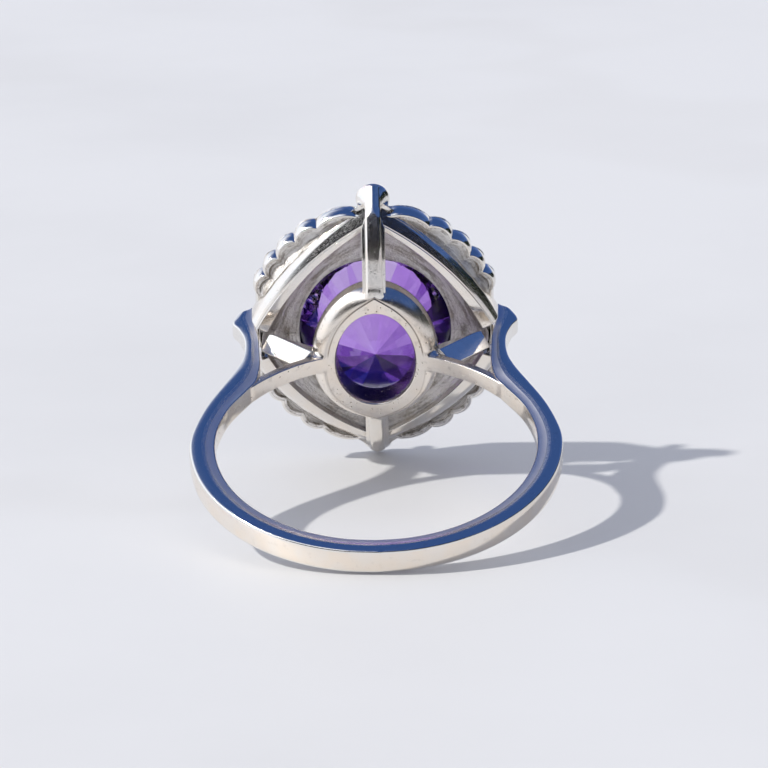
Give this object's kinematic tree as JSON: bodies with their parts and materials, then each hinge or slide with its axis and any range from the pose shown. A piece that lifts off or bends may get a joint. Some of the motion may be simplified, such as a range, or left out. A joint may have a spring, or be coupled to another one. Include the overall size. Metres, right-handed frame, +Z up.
{
  "type": "cocktail ring",
  "caption": "Finger ring with a split shank, a pierced gallery and an oval amethyst in a scalloped halo of small diamonds, lying as it rests on a table.",
  "frame": {"origin": "on the table under the middle of the ring as it lies at rest on the back of its shank and the tip of its head", "axes": "+X across the finger hole, to the left as one looks through the hole from the shank's back at the underside of the head; +Y from the head towards the back of the shank; +Z up from the table. The finger hole's axis lies in the YZ plane, 20.7 degrees from +Z towards +Y."},
  "size_m": [0.0198, 0.024, 0.0168],
  "materials": {
    "white_gold": "polished white gold with fine scratches and pits",
    "cast_gold": "white gold, polished on the edge and left as cast in the recess",
    "amethyst": "faceted purple quartz",
    "diamond": "faceted clear stone"
  },
  "bodies": {
    "root": {"shank": "white_gold", "shoulder_left": "white_gold", "shoulder_right": "white_gold", "gallery_base": "white_gold", "arch_right": "white_gold", "arch_left": "white_gold", "brace_right": "white_gold", "brace_left": "white_gold", "rib_north": "white_gold", "rib_south": "white_gold", "rail_north_right": "white_gold", "rail_north_left": "white_gold", "rail_south_right": "white_gold", "rail_south_left": "white_gold", "centre_collet": "white_gold", "tip_cup_north": "white_gold", "tip_cup_south": "white_gold", "claw_north_right": "white_gold", "claw_north_left": "white_gold", "claw_south_right": "white_gold", "claw_south_left": "white_gold", "halo": "cast_gold", "amethyst": "amethyst", "diamond_north_right_1": "diamond", "diamond_north_right_2": "diamond", "diamond_north_right_3": "diamond", "diamond_north_right_4": "diamond", "diamond_north_right_5": "diamond", "diamond_north_left_1": "diamond", "diamond_north_left_2": "diamond", "diamond_north_left_3": "diamond", "diamond_north_left_4": "diamond", "diamond_north_left_5": "diamond", "diamond_south_right_1": "diamond", "diamond_south_right_2": "diamond", "diamond_south_right_3": "diamond", "diamond_south_right_4": "diamond", "diamond_south_right_5": "diamond", "diamond_south_left_1": "diamond", "diamond_south_left_2": "diamond", "diamond_south_left_3": "diamond", "diamond_south_left_4": "diamond", "diamond_south_left_5": "diamond", "diamond_side_left": "diamond", "diamond_side_right": "diamond", "diamond_tip_north": "diamond", "diamond_tip_south": "diamond"}
  },
  "joints": []
}
